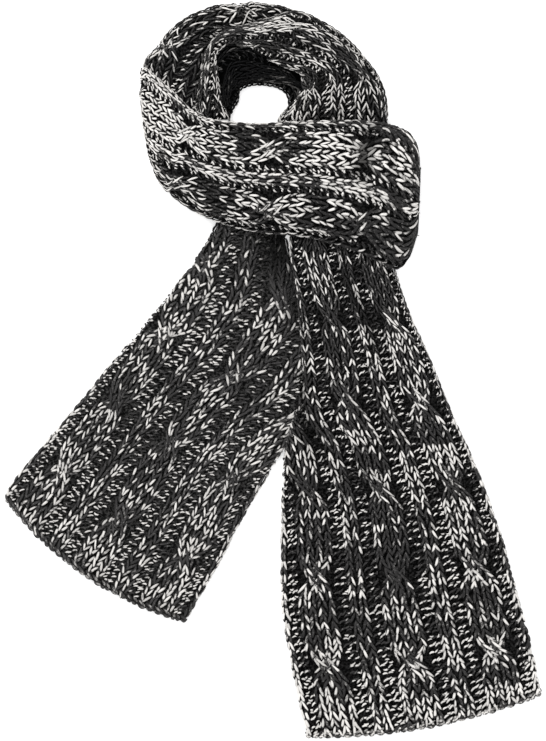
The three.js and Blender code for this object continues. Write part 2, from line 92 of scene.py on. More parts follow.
def zonesOf(kind):
    return [(zoneStarts[i], zoneStarts[i + 1]) for i, (name, _, _) in enumerate(chart) if name == kind]


# A section of a stretch, in mm: edges a and b, the wales shown at them, top, feet, rounding, sideways bow
columns = ["ax", "ay", "bx", "by", "waleA", "waleB", "top", "footA", "footB", "roundA", "roundB", "bow"]


def layOut(piece):
    rows = np.array(piece["sections"], float)
    middles = (rows[:, 0:2] + rows[:, 2:4]) / 2
    along = np.concatenate([[0], np.cumsum(np.linalg.norm(np.diff(middles, axis=0), axis=1))])
    before = np.maximum(np.arange(len(rows)) - 1, 0)
    after = np.minimum(np.arange(len(rows)) + 1, len(rows) - 1)
    steps = middles[after] - middles[before]
    piece.update(rows=rows, along=along, length=along[-1])
    piece["tangents"] = (rows[after] - rows[before]) / (along[after] - along[before])[:, None]
    piece["steps"] = steps / np.linalg.norm(steps, axis=1)[:, None]
    return piece


def sectionsAt(piece, distance):  # a smooth curve through the sections, straight on beyond the ends
    rows, along, tangents = piece["rows"], piece["along"], piece["tangents"]
    i = np.clip(np.searchsorted(along, distance, side="right") - 1, 0, len(along) - 2)
    span = (along[i + 1] - along[i])[..., None]
    f = np.clip((distance - along[i])[..., None] / span, 0, 1)
    p, q, m, n = rows[i], rows[i + 1], tangents[i] * span, tangents[i + 1] * span
    values = p + m * f + (3 * (q - p) - 2 * m - n) * f**2 + (2 * (p - q) + m + n) * f**3
    section = {name: values[..., k] for k, name in enumerate(columns)}
    beyond = distance - np.clip(distance, 0, piece["length"])
    end = np.where(beyond > 0, len(along) - 1, 0)
    for edge in "ab":
        for k, axis in enumerate("xy"):
            section[edge + axis] = section[edge + axis] + piece["steps"][end, k] * beyond
    section["width"] = np.hypot(section["bx"] - section["ax"], section["by"] - section["ay"])
    section["footA"], section["footB"] = np.maximum(section["footA"], 0), np.maximum(section["footB"], 0)
    return section


def quarterEllipse(width, height):  # its length
    return math.pi * np.hypot(width, height) / math.sqrt(2) / 2


def profile(s, fraction):  # a level top with a quarter ellipse at each edge
    half = s["width"] * 0.49
    roundA, roundB = np.minimum(s["roundA"], half), np.minimum(s["roundB"], half)
    lengthA = quarterEllipse(roundA, s["top"] - s["footA"])
    lengthB = quarterEllipse(roundB, s["top"] - s["footB"])
    level = s["width"] - roundA - roundB
    reached = fraction * (lengthA + level + lengthB)
    a = np.clip(reached / lengthA, 0, 1) * math.pi / 2
    b = np.clip((reached - lengthA - level) / lengthB, 0, 1) * math.pi / 2
    across = roundA * (1 - np.cos(a)) + np.clip(reached - lengthA, 0, level) + roundB * np.sin(b)
    onB = reached > lengthA + level
    height = np.where(onB, s["footB"] + (s["top"] - s["footB"]) * np.cos(b),
                      s["footA"] + (s["top"] - s["footA"]) * np.sin(a))
    return across, height, np.where(onB, np.sin(b), -np.cos(a)), np.where(onB, np.cos(b), np.sin(a))


def fanned(piece, distance):  # share of the width that the wales slip sideways towards a turned end
    reach, slip = piece.get("fan", (1, 0))
    return slip * np.clip(1 - distance / reach, 0, 1.2) ** 1.6


def waleFraction(piece, s, wale):
    low, high = chartWidth(piece, s["waleA"]), chartWidth(piece, s["waleB"])
    return (chartWidth(piece, wale) - low) / (high - low)


def waleAt(piece, s, fraction):
    low, high = chartWidth(piece, s["waleA"]), chartWidth(piece, s["waleB"])
    return np.interp(low + (high - low) * fraction, chartWidth(piece, zoneStarts), zoneStarts)


# Relief of the cloth: ribs and cables raised, creases pressed in
def swell(offset, halfWidth):
    return np.maximum(0, 1 - np.abs(offset / halfWidth) ** 3)


def pastCrossing(piece, row):  # rows past the nearest crossing, negative before it
    half = knit["repeat"] / 2
    return np.mod(row - piece["firstCrossing"] + half, knit["repeat"]) - half


def crossingTurn(piece, row):  # from -1 before a crossing to 1 after it
    return np.clip(pastCrossing(piece, row) / knit["reach"], -1, 1) * piece["hand"]


def relief(piece, wale, row):
    raised = np.zeros(np.broadcast(wale, row).shape)
    for kind in ("rib", "edge"):
        for low, high in zonesOf(kind):
            rib = knit["ribRise"] * swell(wale - (low + high) / 2, (high - low) / 2 + 0.02)
            raised = np.where((wale > low) & (wale < high), rib, raised)
    turn = crossingTurn(piece, row) * math.pi / 2
    for low, high in zonesOf("cable"):
        offset = wale - (low + high) / 2
        crossing = knit["crossingRise"] * np.cos(turn)
        upper = swell(offset + np.sin(turn), knit["strandHalf"]) * (knit["cableRise"] + crossing)
        lower = swell(offset - np.sin(turn), knit["strandHalf"]) * knit["cableRise"]
        raised = np.where((wale > low) & (wale < high), np.maximum(upper, lower), raised)
    return raised


def creases(piece, wale, row):  # troughs along straight lines over the cloth, widths and depths in mm
    depth = np.zeros(np.broadcast(wale, row).shape)
    for waleFrom, rowFrom, waleTo, rowTo, width, deep in piece["folds"]:
        start = np.array([chartWidth(piece, waleFrom), rowFrom * knit["row"]])
        run = np.array([chartWidth(piece, waleTo), rowTo * knit["row"]]) - start
        x, y = chartWidth(piece, wale) - start[0], row * knit["row"] - start[1]
        f = np.clip((x * run[0] + y * run[1]) / (run @ run), 0, 1)
        away = np.hypot(x - f * run[0], y - f * run[1])
        fade = np.clip(np.minimum(0.3 + 4 * f, 4 * (1 - f)), 0, 1)
        depth = depth + deep * fade * np.exp(-((away / width) ** 2))
    return depth


def smoothNoise(seed, x, y):  # smooth values from -1 to 1 on a seeded grid
    cells = 64
    table = np.random.default_rng(seed).uniform(-1, 1, (cells, cells))
    ix, iy = np.floor(x).astype(int), np.floor(y).astype(int)
    fx, fy = x - ix, y - iy
    fx, fy = fx * fx * (3 - 2 * fx), fy * fy * (3 - 2 * fy)
    nextX, nextY = (ix + 1) % cells, (iy + 1) % cells
    ix, iy = ix % cells, iy % cells
    low = table[ix, iy] * (1 - fx) + table[nextX, iy] * fx
    high = table[ix, nextY] * (1 - fx) + table[nextX, nextY] * fx
    return low * (1 - fy) + high * fy


def onCloth(piece, distance, wale, lift, plain=False):  # points on a stretch, `lift` mm out from its cloth
    s = sectionsAt(piece, distance)
    fraction = np.clip(waleFraction(piece, s, wale) - fanned(piece, distance), 0, 1)
    across, height, outX, outZ = profile(s, fraction)
    row = distance / piece["row"]
    out = lift
    if not plain:
        uneven = smoothNoise(piece["seed"], wale / wave["wales"], distance / wave["length"])
        uneven = uneven * piece["unevenness"]
        edge = np.clip(np.minimum(fraction, 1 - fraction) / wave["edge"], 0, 1)
        out = lift + edge * (relief(piece, wale, row) - creases(piece, wale, row) + uneven)
    across, height = across + outX * out, np.maximum(height + outZ * out, ground["rest"])
    bow = s["bow"] * 4 * fraction * (1 - fraction)
    dx, dy = (s["bx"] - s["ax"]) / s["width"], (s["by"] - s["ay"]) / s["width"]
    return np.stack([s["ax"] + dx * across - dy * bow, s["ay"] + dy * across + dx * bow, height], -1) * mm


# Meshes
def meshObject(name, points, faces, values=None):
    mesh = bpy.data.meshes.new(name)
    mesh.from_pydata(points.reshape(-1, 3).tolist(), [], faces)
    for key, numbers in (values or {}).items():
        layer = mesh.attributes.new(key, "FLOAT", "POINT")
        layer.data.foreach_set("value", np.ascontiguousarray(numbers, np.float32).ravel())
    mesh.shade_smooth()
    thing = bpy.data.objects.new(name, mesh)
    bpy.context.scene.collection.objects.link(thing)
    return thing


def quads(*corners):
    return np.stack(corners, -1).reshape(-1, 4).tolist()


def unit(vectors):
    return vectors / np.maximum(np.linalg.norm(vectors, axis=-1, keepdims=True), 1e-12)


def tubeFaces(count, rings, sides):  # walls, then both ends of every tube
    start = (np.arange(count) * rings * sides)[:, None, None] + (np.arange(rings - 1) * sides)[:, None]
    a = start + np.arange(sides)
    b = start + (np.arange(sides) + 1) % sides
    first = np.arange(count)[:, None] * rings * sides + np.arange(sides)
    last = first[:, ::-1] + (rings - 1) * sides
    return quads(a, a + sides, b + sides, b) + first.tolist() + last.tolist()


def lightFlecks(piece, place, angles, count):  # only part of a strand's crown shows the light ply
    rng = np.random.default_rng(piece["seed"] + len(place))
    size = piece.get("fleckSize", 1.0)
    # each fleck's place and half length along the strand, how far down its sides it ends, and its lean
    least = (0.3, 0.42 * size, 0.45 - 0.6 * size, -0.5)
    most = (0.7, 0.8 * size, 0.6, 0.5)
    flecks = rng.uniform(least, most, (count, 4))
    along = 1 - np.abs(place - flecks[:, :1]) / flecks[:, 1:2]
    lean = np.sin(angles + flecks[:, 3:])
    fleck = np.minimum(2.2 * along[:, :, None], 2.5 * (lean - flecks[:, 2:3])[:, None, :] + 0.5)
    return np.clip(fleck, -0.5, 1)


def yarnStrokes(name, piece, strokes, sides):  # every stroke of yarn is a short tapered tube on the cloth
    count, rings = strokes["wale"].shape
    lift = strokes["lift"] - knit["sunk"]
    points = onCloth(piece, strokes["distance"], strokes["wale"], lift)
    above = onCloth(piece, strokes["distance"], strokes["wale"], lift + 1.0)
    out = unit(above - points + np.array([0, 0, 1e-9]))
    tangent = unit(np.gradient(points, axis=1))
    side = unit(np.cross(tangent, out))
    out = np.cross(side, tangent)
    place = np.linspace(0, 1, rings)
    taper = strand["tip"] + (1 - strand["tip"]) * np.sin(math.pi * (0.06 + 0.88 * place)) ** 0.8
    angles = (np.arange(sides) + 0.5) * 2 * math.pi / sides
    across = side[:, :, None] * (np.cos(angles)[:, None] * strokes["halfWidth"][:, None, None, None])
    rise = out[:, :, None] * (np.sin(angles)[:, None] * strokes["halfHeight"][:, None, None, None])
    body = points[:, :, None] + (across + rise) * taper[:, None, None] * mm
    body[..., 2] = np.maximum(body[..., 2], strand["floor"] * mm)  # no yarn goes under the floor
    # crown: high on a strand's top and middle, low on its flanks and tips; the yarn material turns it into
    # painted shade
    crown = np.sin(angles) * np.sin(math.pi * (0.1 + 0.8 * place))[:, None] ** 0.5
    length = np.linalg.norm(np.diff(points, axis=1), axis=-1).sum(1) / mm
    shape = (count, rings, sides)
    values = {
        "tone": np.broadcast_to(strokes["tone"][:, None, None], shape),
        "fleck": lightFlecks(piece, place, angles, count),
        "shade": np.broadcast_to(strokes["shade"][:, None, None], shape),
        "along": np.broadcast_to((length[:, None] * place + strokes["seed"][:, None])[:, :, None], shape),
        "turn": np.broadcast_to(np.arange(sides) / sides, shape),
        "crown": np.broadcast_to(crown, shape),
    }
    return meshObject(name, body, tubeFaces(count, rings, sides), values)


# Stitches of a stretch
def tones(piece, wale, row, isPurl):  # light share of each stroke, in the drifts that marled yarn makes
    rng = np.random.default_rng(piece["seed"] + 11 + isPurl)
    drift = smoothNoise(piece["seed"] + 1, wale / drifts["wales"], row / drifts["rows"])
    whole = np.round(row)
    streak = smoothNoise(piece["seed"] + 2, wale / drifts["streakWales"] + whole * drifts["slant"],
                         whole / drifts["streakRows"])
    chance = drifts["chance"] * rng.uniform(-1, 1, wale.shape)
    value = drifts["share"] * drift + piece["streaks"] * streak + chance
    rank = np.argsort(np.argsort(value)) / max(len(value) - 1, 1)
    # purl columns take their own share of the light ply; below 1, as on the band and the lower layer, it is
    # painted shade in their sunk valleys
    share = piece["light"](wale, row) * (piece["purlLight"] if isPurl else 1)
    tone = np.clip(0.5 + (share - rank) / drifts["soft"], 0, 1)
    tone = tone * (1 + 1.4 * np.clip(share - 0.55, 0, 0.4))  # brighter still where light strands crowd
    hollow = np.clip(creases(piece, wale, row) / 4, 0, 0.9)  # yarn in a crease lies in its shadow
    return tone, rng.uniform(0.75, 1.1, wale.shape) * (1 - hollow), rng.uniform(0, 40, wale.shape)


def threadPlaces(piece, kind, low, thread, row):  # where a knit column's thread runs at a row, and its lift
    if kind == "edge":  # a little in from the rounded edge
        return low + (0.62 if low == 0 else 0.38) + 0 * row, 0 * row
    if kind == "rib":
        return low + thread + 0.5 + 0 * row, 0 * row
    middle = row[:, row.shape[1] // 2][:, None]
    phase = pastCrossing(piece, middle)
    sway = np.sin(np.clip((phase + row - middle) / knit["reach"], -1, 1) * math.pi / 2)
    side = -1 if thread < 2 else 1  # the cable strand's side before the crossing
    isUpper = side * piece["hand"] > 0
    lift = np.sqrt(1 - sway**2) * (knit["over"] if isUpper else knit["under"])
    return low + 2 - side * sway + (0.5 if thread % 2 else -0.5), lift


def knitStrokes(piece):
    rng = np.random.default_rng(piece["seed"] + 5)
    place = np.linspace(0, 1, leg["rings"])
    rows = np.arange(piece["rowsShown"][0], piece["rowsShown"][1])
    found = []
    for index, (kind, wales, _) in enumerate(chart):
        if kind == "purl":
            continue
        for thread in range(wales):
            for arm in (-1, 1):
                jitter = rng.normal(0, leg["jitter"], (3, len(rows)))
                # place 0 is the open end of the V, 1 its apex
                row = rows[:, None] + (place * leg["reach"] + jitter[0][:, None]) * piece["apex"]
                centre, lift = threadPlaces(piece, kind, zoneStarts[index], thread, row)
                spread = leg["open"] + (leg["apex"] - leg["open"]) * place**0.8
                spread = spread * (0.72 if kind == "edge" else 1)
                wale = centre + arm * spread + jitter[1][:, None] + jitter[2][:, None] * (place - 0.5) * 2
                lift = lift + 0.55 * np.sin(math.pi * place**0.85) - 0.75 * (1 - place) ** 2 - 0.25 * place**3
                found.append((row, wale, lift))
    row, wale, lift = (np.concatenate(part) for part in zip(*found))
    return finishStrokes(piece, row, wale, lift, leg, False)


def purlStrokes(piece):
    rng = np.random.default_rng(piece["seed"] + 6)
    place = np.linspace(0, 1, bump["rings"])
    rows = np.arange(piece["rowsShown"][0], piece["rowsShown"][1])
    found = []
    for low, high in zonesOf("purl"):
        for column in np.arange(low, high):
            for half, bend, deep in ((0.0, 1, 0.0), (0.5, -1, bump["foot"])):  # head, then the next's foot
                jitter = rng.normal(0, bump["jitter"], (3, len(rows)))
                wale = column + half + 0.03 + 0.94 * place + jitter[1][:, None]
                slant = (bump["slant"] * piece["apex"] + jitter[2][:, None]) * (place - 0.5) * 2
                row = rows[:, None] + half + slant + bend * bump["bow"] * np.sin(math.pi * place)
                row = row + jitter[0][:, None]
                wale = np.minimum(wale, high + 0.1)
                lift = 0.5 * np.sin(math.pi * place) - 0.1 - deep + 0 * row
                found.append((row, wale, lift))
    row, wale, lift = (np.concatenate(part) for part in zip(*found))
    return finishStrokes(piece, row, wale, lift, bump, True)


def finishStrokes(piece, row, wale, lift, shape, isPurl):
    distance = row * piece["row"]
    s = sectionsAt(piece, distance)
    fraction = waleFraction(piece, s, wale) - fanned(piece, distance)
    middle = fraction.shape[1] // 2
    shown = (fraction[:, middle] > 0.004) & (fraction[:, middle] < 0.996)
    low, high = piece["shown"]
    shown &= (distance.min(1) > low - 1.5) & (distance.max(1) < high + 5)  # no strand hangs past an end
    row, wale, lift, distance = row[shown], wale[shown], lift[shown], distance[shown]
    stretch = (s["width"] / (chartWidth(piece, s["waleB"]) - chartWidth(piece, s["waleA"])))[shown][:, middle]
    halfWidth = np.clip(shape["halfWidth"] * (stretch * piece.get("strand", knit["wale"])), *strand["widths"])
    halfHeight = np.clip(shape["height"] * halfWidth / strand["usual"], *strand["heights"])
    tone, shade, seed = tones(piece, wale[:, middle], row[:, middle], isPurl)
    return {"distance": distance, "wale": wale, "lift": lift, "halfWidth": halfWidth,
            "halfHeight": halfHeight, "tone": tone, "shade": shade, "seed": seed}


def boundEdge(piece):  # the bound-off hem: for each wale a knob on the edge and a strand above it
    rng = np.random.default_rng(piece["seed"] + 7)
    place = np.linspace(0, 1, leg["rings"])
    wales = int(zoneStarts[-1])
    starts = np.repeat(np.arange(wales) * 1.0, 2)[:, None] + rng.normal(0, 0.05, (2 * wales, 1))
    isKnob = np.tile([True, False], wales)[:, None]
    wale = starts + np.where(isKnob, 0.08 + 0.84 * place, 0.1 + 1.0 * place)
    distance = np.where(isKnob, 0.9 - 1.1 * np.sin(math.pi * place), 1.4 + 3.0 * place)
    distance = distance + rng.normal(0, 0.25, (2 * wales, 1))
    lift = np.where(isKnob, 0.5, 1.0) * np.sin(math.pi * place) - np.where(isKnob, 1.7, 0.5) + 0 * wale
    tone, shade, seed = tones(piece, wale[:, 2], distance[:, 2], False)
    halfWidth, halfHeight = (np.where(isKnob[:, 0], *pair) for pair in zip(hem["knob"], hem["strand"]))
    return {"distance": distance, "wale": wale, "lift": lift, "halfWidth": halfWidth,
            "halfHeight": halfHeight, "tone": tone * hem["dim"], "shade": shade, "seed": seed}


# Ground cloth: a closed shell just under the stitches, down to the floor where the stretch lies flat on it
def groundShell(piece):
    low, high = piece["shown"]
    steps = max(int((high - low) / ground["step"]), 4)
    distance = np.linspace(low, high, steps + 1)[:, None]
    s = sectionsAt(piece, distance[:, 0])
    count = int(np.max(s["waleB"] - s["waleA"]) / ground["walesPerPoint"]) + 1
    fraction = np.linspace(0, 1, count)[None, :]
    wale = waleAt(piece, {key: s[key][:, None] for key in s}, fraction + fanned(piece, distance))
    distance = distance + 0 * wale
    outer = onCloth(piece, distance, wale, -ground["below"])
    if piece["flat"]:
        inner = onCloth(piece, distance, wale, -ground["below"], True)
        inner[..., 2] = ground["rest"] * mm
        outer[..., 2] = np.maximum(outer[..., 2], (ground["rest"] + ground["least"]) * mm)
    else:
        inner = onCloth(piece, distance, wale, -ground["below"] - ground["thick"], True)
    rows, columnsCount = outer.shape[:2]
    index = np.arange(rows * columnsCount).reshape(rows, columnsCount)
    back = index + rows * columnsCount
    faces = quads(index[:-1, :-1], index[1:, :-1], index[1:, 1:], index[:-1, 1:])
    faces += quads(back[:-1, :-1], back[:-1, 1:], back[1:, 1:], back[1:, :-1])
    faces += quads(index[0, :-1], index[0, 1:], back[0, 1:], back[0, :-1])
    faces += quads(index[-1, :-1], back[-1, :-1], back[-1, 1:], index[-1, 1:])
    faces += quads(index[:-1, 0], back[:-1, 0], back[1:, 0], index[1:, 0])
    faces += quads(index[:-1, -1], index[1:, -1], back[1:, -1], back[:-1, -1])
    shell = meshObject(piece["name"] + "_cloth", np.stack([outer, inner]), faces)
    facesOut(shell)
    return shell


def facesOut(thing):
    bpy.ops.object.select_all(action="DESELECT")
    bpy.context.view_layer.objects.active = thing
    thing.select_set(True)
    bpy.ops.object.mode_set(mode="EDIT")
    bpy.ops.mesh.select_all(action="SELECT")
    bpy.ops.mesh.normals_make_consistent(inside=False)
    bpy.ops.object.mode_set(mode="OBJECT")
    thing.select_set(False)


# Materials
def linear(hexColour):
    channels = [int(hexColour[i:i + 2], 16) / 255 for i in (1, 3, 5)]
    return (*[c / 12.92 if c <= 0.04045 else ((c + 0.055) / 1.055) ** 2.4 for c in channels], 1)


def addNode(tree, kind, settings=None, links=None, values=None):
    node = tree.nodes.new(kind)
    for key, value in (settings or {}).items():
        setattr(node, key, value)
    for key, value in (values or {}).items():
        node.inputs[key].default_value = value
    for key, source in (links or {}).items():
        tree.links.new(source, node.inputs[key])
    return node


def mathNode(tree, how, a, b):
    node = addNode(tree, "ShaderNodeMath", {"operation": how})
    for socket, value in zip(node.inputs, (a, b)):
        if isinstance(value, (int, float)):
            socket.default_value = value
        else:
            tree.links.new(value, socket)
    return node.outputs["Value"]


def emptyMaterial(name):
    material = bpy.data.materials.new(name)
    material.use_nodes = True
    material.node_tree.nodes.clear()
    return material, material.node_tree


def noiseNode(tree, size, detail, roughness=0.5):  # its size in mm on the cloth
    place = addNode(tree, "ShaderNodeTexCoord").outputs["Object"]
    values = {"Scale": 1 / (size * mm), "Detail": detail, "Roughness": roughness}
    return addNode(tree, "ShaderNodeTexNoise", values=values, links={"Vector": place}).outputs["Fac"]


def fluffNode(tree, fibre, strength, height):  # fine fibres in relief, their height in mm
    values = {"Strength": strength, "Distance": height * mm}
    return addNode(tree, "ShaderNodeBump", values=values, links={"Height": fibre}).outputs["Normal"]


# two plies twisted once in `twist` mm; noise sizes in mm, and how far each shifts the share of the light ply
marl = {"twist": 5.5, "stripe": 0.1, "patch": 1.6, "patchShare": 1.1, "fibre": 0.35, "fibreShare": 0.9,
        "fluff": 0.55, "fluffHeight": 0.35, "plies": (0.1, 0.85), "roughness": 0.95, "gloss": 0.1,
        "sheen": 0.04}


def marledYarn(name, dark, light):
    # two plies of soft acrylic, one charcoal and one light grey: matt, with a faint halo of fibres
    material, tree = emptyMaterial(name)
    tone, fleck, shade, along, turn, crown = (
        addNode(tree, "ShaderNodeAttribute", {"attribute_name": key}).outputs["Fac"]
        for key in ("tone", "fleck", "shade", "along", "turn", "crown"))
    turns = mathNode(tree, "ADD", mathNode(tree, "DIVIDE", along, marl["twist"]), turn)
    stripe = mathNode(tree, "SINE", mathNode(tree, "MULTIPLY", turns, 2 * math.pi), 0.0)
    patch = noiseNode(tree, marl["patch"], 2.0)
    fibre = noiseNode(tree, marl["fibre"], 3.0)
    mixed = mathNode(tree, "MULTIPLY", tone, fleck)
    mixed = mathNode(tree, "ADD", mixed, mathNode(tree, "MULTIPLY", stripe, marl["stripe"]))
    for noise, share in ((patch, marl["patchShare"]), (fibre, marl["fibreShare"])):
        centred = mathNode(tree, "SUBTRACT", noise, 0.5)
        mixed = mathNode(tree, "ADD", mixed, mathNode(tree, "MULTIPLY", centred, share))
    ply = addNode(tree, "ShaderNodeMapRange", {"interpolation_type": "SMOOTHSTEP"}, {"Value": mixed},
                  {"From Min": marl["plies"][0], "From Max": marl["plies"][1]}).outputs["Result"]
    colour = addNode(tree, "ShaderNodeMix", {"data_type": "RGBA"}, {"Factor": ply})
    colour.inputs["A"].default_value, colour.inputs["B"].default_value = linear(dark), linear(light)
    # the fibres between two strands lie in their shadow
    flank = addNode(tree, "ShaderNodeMapRange", {"interpolation_type": "SMOOTHSTEP"}, {"Value": crown},
                    {"From Min": -0.3, "From Max": 0.7, "To Min": 0.15, "To Max": 1.0}).outputs["Result"]
    shaded = addNode(tree, "ShaderNodeVectorMath", {"operation": "SCALE"},
                     {"Scale": mathNode(tree, "MULTIPLY", shade, flank)})
    tree.links.new(colour.outputs["Result"], shaded.inputs[0])
    fluff = fluffNode(tree, fibre, marl["fluff"], marl["fluffHeight"])
    shader = addNode(tree, "ShaderNodeBsdfPrincipled",
                     values={"Roughness": marl["roughness"], "Specular IOR Level": marl["gloss"],
                             "Sheen Weight": marl["sheen"], "Sheen Roughness": 0.5},
                     links={"Base Color": shaded.outputs["Vector"], "Normal": fluff})
    addNode(tree, "ShaderNodeOutputMaterial", links={"Surface": shader.outputs["BSDF"]})
    return material


# noise sizes in mm, and where on the noise the dark ends and the light fibres begin
inside = {"strands": 2.2, "ramp": (0.45, 0.78), "fibre": 0.4, "fluff": 0.8, "fluffHeight": 0.6,
          "roughness": 0.95, "gloss": 0.04}


def shadedGround(name, dark, mid):
    # the inside of the knit between its stitches: near black, partly the charcoal yarn and partly painted
    # shade deep between the stitches, with a few light fibres
    material, tree = emptyMaterial(name)
    strands = noiseNode(tree, inside["strands"], 4.0, 0.65)
    fibre = noiseNode(tree, inside["fibre"], 2.0)
    colour = addNode(tree, "ShaderNodeValToRGB", links={"Fac": strands})
    for stop, position, shade in zip(colour.color_ramp.elements, inside["ramp"], (dark, mid)):
        stop.position, stop.color = position, linear(shade)
    fluff = fluffNode(tree, fibre, inside["fluff"], inside["fluffHeight"])
    shader = addNode(tree, "ShaderNodeBsdfPrincipled",
                     values={"Roughness": inside["roughness"], "Specular IOR Level": inside["gloss"]},
                     links={"Base Color": colour.outputs["Color"], "Normal": fluff})
    addNode(tree, "ShaderNodeOutputMaterial", links={"Surface": shader.outputs["BSDF"]})
    return material


# grounds under the stitches: their near-black dark stops are painted shade between the stitches
groundKnit = shadedGround("knit_ground_charcoal_and_shade", "#040404", "#383737")
greyKnit = shadedGround("knit_ground_grey_fibres", "#0c0c0c", "#5a5958")
deepKnit = shadedGround("knit_ground_in_shade", "#020202", "#0a0a0a")


def dress(piece):  # a stretch's ground cloth, its stitches and, where it ends, its hem
    shell = groundShell(piece)
    shell.data.materials.append(piece.get("ground", groundKnit))
    parts = [yarnStrokes(piece["name"] + "_knit", piece, knitStrokes(piece), leg["sides"]),
             yarnStrokes(piece["name"] + "_purl", piece, purlStrokes(piece), bump["sides"])]
    if piece["hem"]:
        parts.append(yarnStrokes(piece["name"] + "_hem", piece, boundEdge(piece), leg["sides"]))
    yarn = marledYarn(piece["name"] + "_marled_acrylic", piece["dark"], piece["pale"])
    for part in parts:
        part.data.materials.append(yarn)
    for part in [shell, *parts]:
        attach(part, "root")
    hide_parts(*piece["replaces"])
    half = sum(face.area for face in shell.data.polygons) / 2
    length = (piece["shown"][1] - piece["shown"][0]) * mm
    print(piece["name"], "dressed:", sum(len(part.data.polygons) for part in parts), "faces of yarn,",
          round(half, 5), "square metres of cloth,", round(length, 3), "long")


# Right tail, hem first
rightTail = layOut({
    "name": "right_tail", "replaces": ["right_tail"], "slot": "knit_tail_right", "flat": True, "hem": True,
    "sections": [
        [26.5, -312, 228.5, -275.5, 0, 30, 6, 1.2, 1.2, 4, 4, -11],
        [15.5, -260, 221, -238.5, 0, 30, 6, 1.2, 1.2, 4, 4, -10],
        [6, -206, 208, -189, 0, 30, 6, 1.2, 1.2, 4, 4, -7],
        [5, -149, 194.5, -141.5, 0, 30, 6, 1.2, 1.2, 4, 4, -5],
        [6.5, -102.5, 178.5, -95.5, 0.5, 30, 6.5, 1.2, 1.2, 5, 4, -4],
        [8, -68.5, 166, -66.5, 2.5, 30, 8, 1.2, 1.2, 6, 5, -2],
        [15.5, -38.5, 154, -42, 6, 30, 10, 1.2, 1.2, 8, 6, 0],
        [22, 16.5, 130, 16.5, 8, 30, 11, 1.2, 1.2, 10, 8, 0],
        [19.5, 59, 114, 52.5, 9, 30, 11, 1.2, 1.2, 10, 10, 0],
        [13.5, 95, 103.5, 84.5, 9.5, 30, 10, 1.2, 1.2, 9, 10, 0],
        [13.5, 123, 97, 110, 10, 30, 9.5, 1.2, 1.2, 8, 10, 0],
    ],
    "folds": [[8.6, 50, 7.4, 36, 8, 4], [19, 66, 22, 50, 9, 2.2]],
    "row": 6.0, "firstCrossing": 9, "hand": 1, "apex": 1, "rowsShown": (0, 72), "shown": (0.0, 420.0),
    "unevenness": 0.7, "streaks": 0.65, "seed": 21, "dark": "#393838", "pale": "#f2efeb", "purlLight": 1.25,
    "fleckSize": 0.8,
    "light": lambda wale, row: (0.4 + 0.34 * np.exp(-((row / 6) ** 2)) + 0.5 * np.exp(-((wale / 1.8) ** 2))
                                + 0.2 * np.exp(-(((30 - wale) / 1.1) ** 2))),
    "cut": (0.205, 0.42), "cutArea": 0.074, "held": "laid", "restsOn": ["left_tail"],
})
dress(rightTail)

# Left tail, hem first
leftTail = layOut({
    "name": "left_tail", "replaces": ["left_tail"], "slot": "knit_tail_left", "flat": True, "hem": True,
    "sections": [
        [-74, -214.5, -228.5, -109, 0, 30, 6, 1.2, 1.2, 4, 4, 16.5],
        [-69.5, -206.5, -227, -100.5, 0, 30, 6, 1.2, 1.2, 4, 4, 16.5],
        [-44, -162, -192, -57.5, 0, 30, 6, 1.2, 1.2, 4, 4, 13],
        [-18, -112.5, -159, -18.5, 0, 30, 6, 1.2, 1.2, 4, 4, 9],
        [1.5, -80.5, -137, 8, 1, 29.5, 6, 1.2, 1.2, 4, 4, 7],
        [17, -51.5, -115.5, 33.5, 4, 29, 6, 1.2, 1.2, 4, 5, 5],
        [24.5, -16, -98.5, 54, 7, 28.5, 6.2, 1.2, 1.2, 4, 6, 3],
        [27, 25, -80, 77, 10.5, 27, 6.6, 1.2, 1.2, 5, 7, 2],
        [23, 67.5, -60.5, 102.5, 12.5, 26, 7.5, 1.2, 1.2, 6, 8, 0],
        [12.5, 105, -49.5, 123.5, 14.5, 25.5, 9, 1.2, 1.2, 8, 9, 0],
        [11.5, 132, -37, 145, 16, 24, 9, 1.2, 1.2, 8, 9, 0],
    ],
    "folds": [[17, 62, 12, 38, 9, 2], [18, 66, 16.5, 46, 15, 5]], "ground": greyKnit,
    "row": 6.0, "firstCrossing": 9, "hand": -1, "apex": -1, "rowsShown": (1, 62), "shown": (0.0, 350.0),
    "unevenness": 0.7, "streaks": 0.5, "seed": 22, "dark": "#403f3f", "pale": "#e8e5e1", "purlLight": 1.2,
    "fleckSize": 0.7,
    # light share: falls off near row 56, just under the band's edge, as painted shadow of the band there
    "light": lambda wale, row: (0.47 - 0.28 * np.exp(-(((row - 56) / 12) ** 2))
                                + 0.1 * np.exp(-((row / 12) ** 2))
                                + 0.3 * np.exp(-(((30 - wale) / 1.3) ** 2))),
    "cut": (0.205, 0.35), "cutArea": 0.056, "held": "laid", "restsOn": ["hidden_layers"],
})
dress(leftTail)

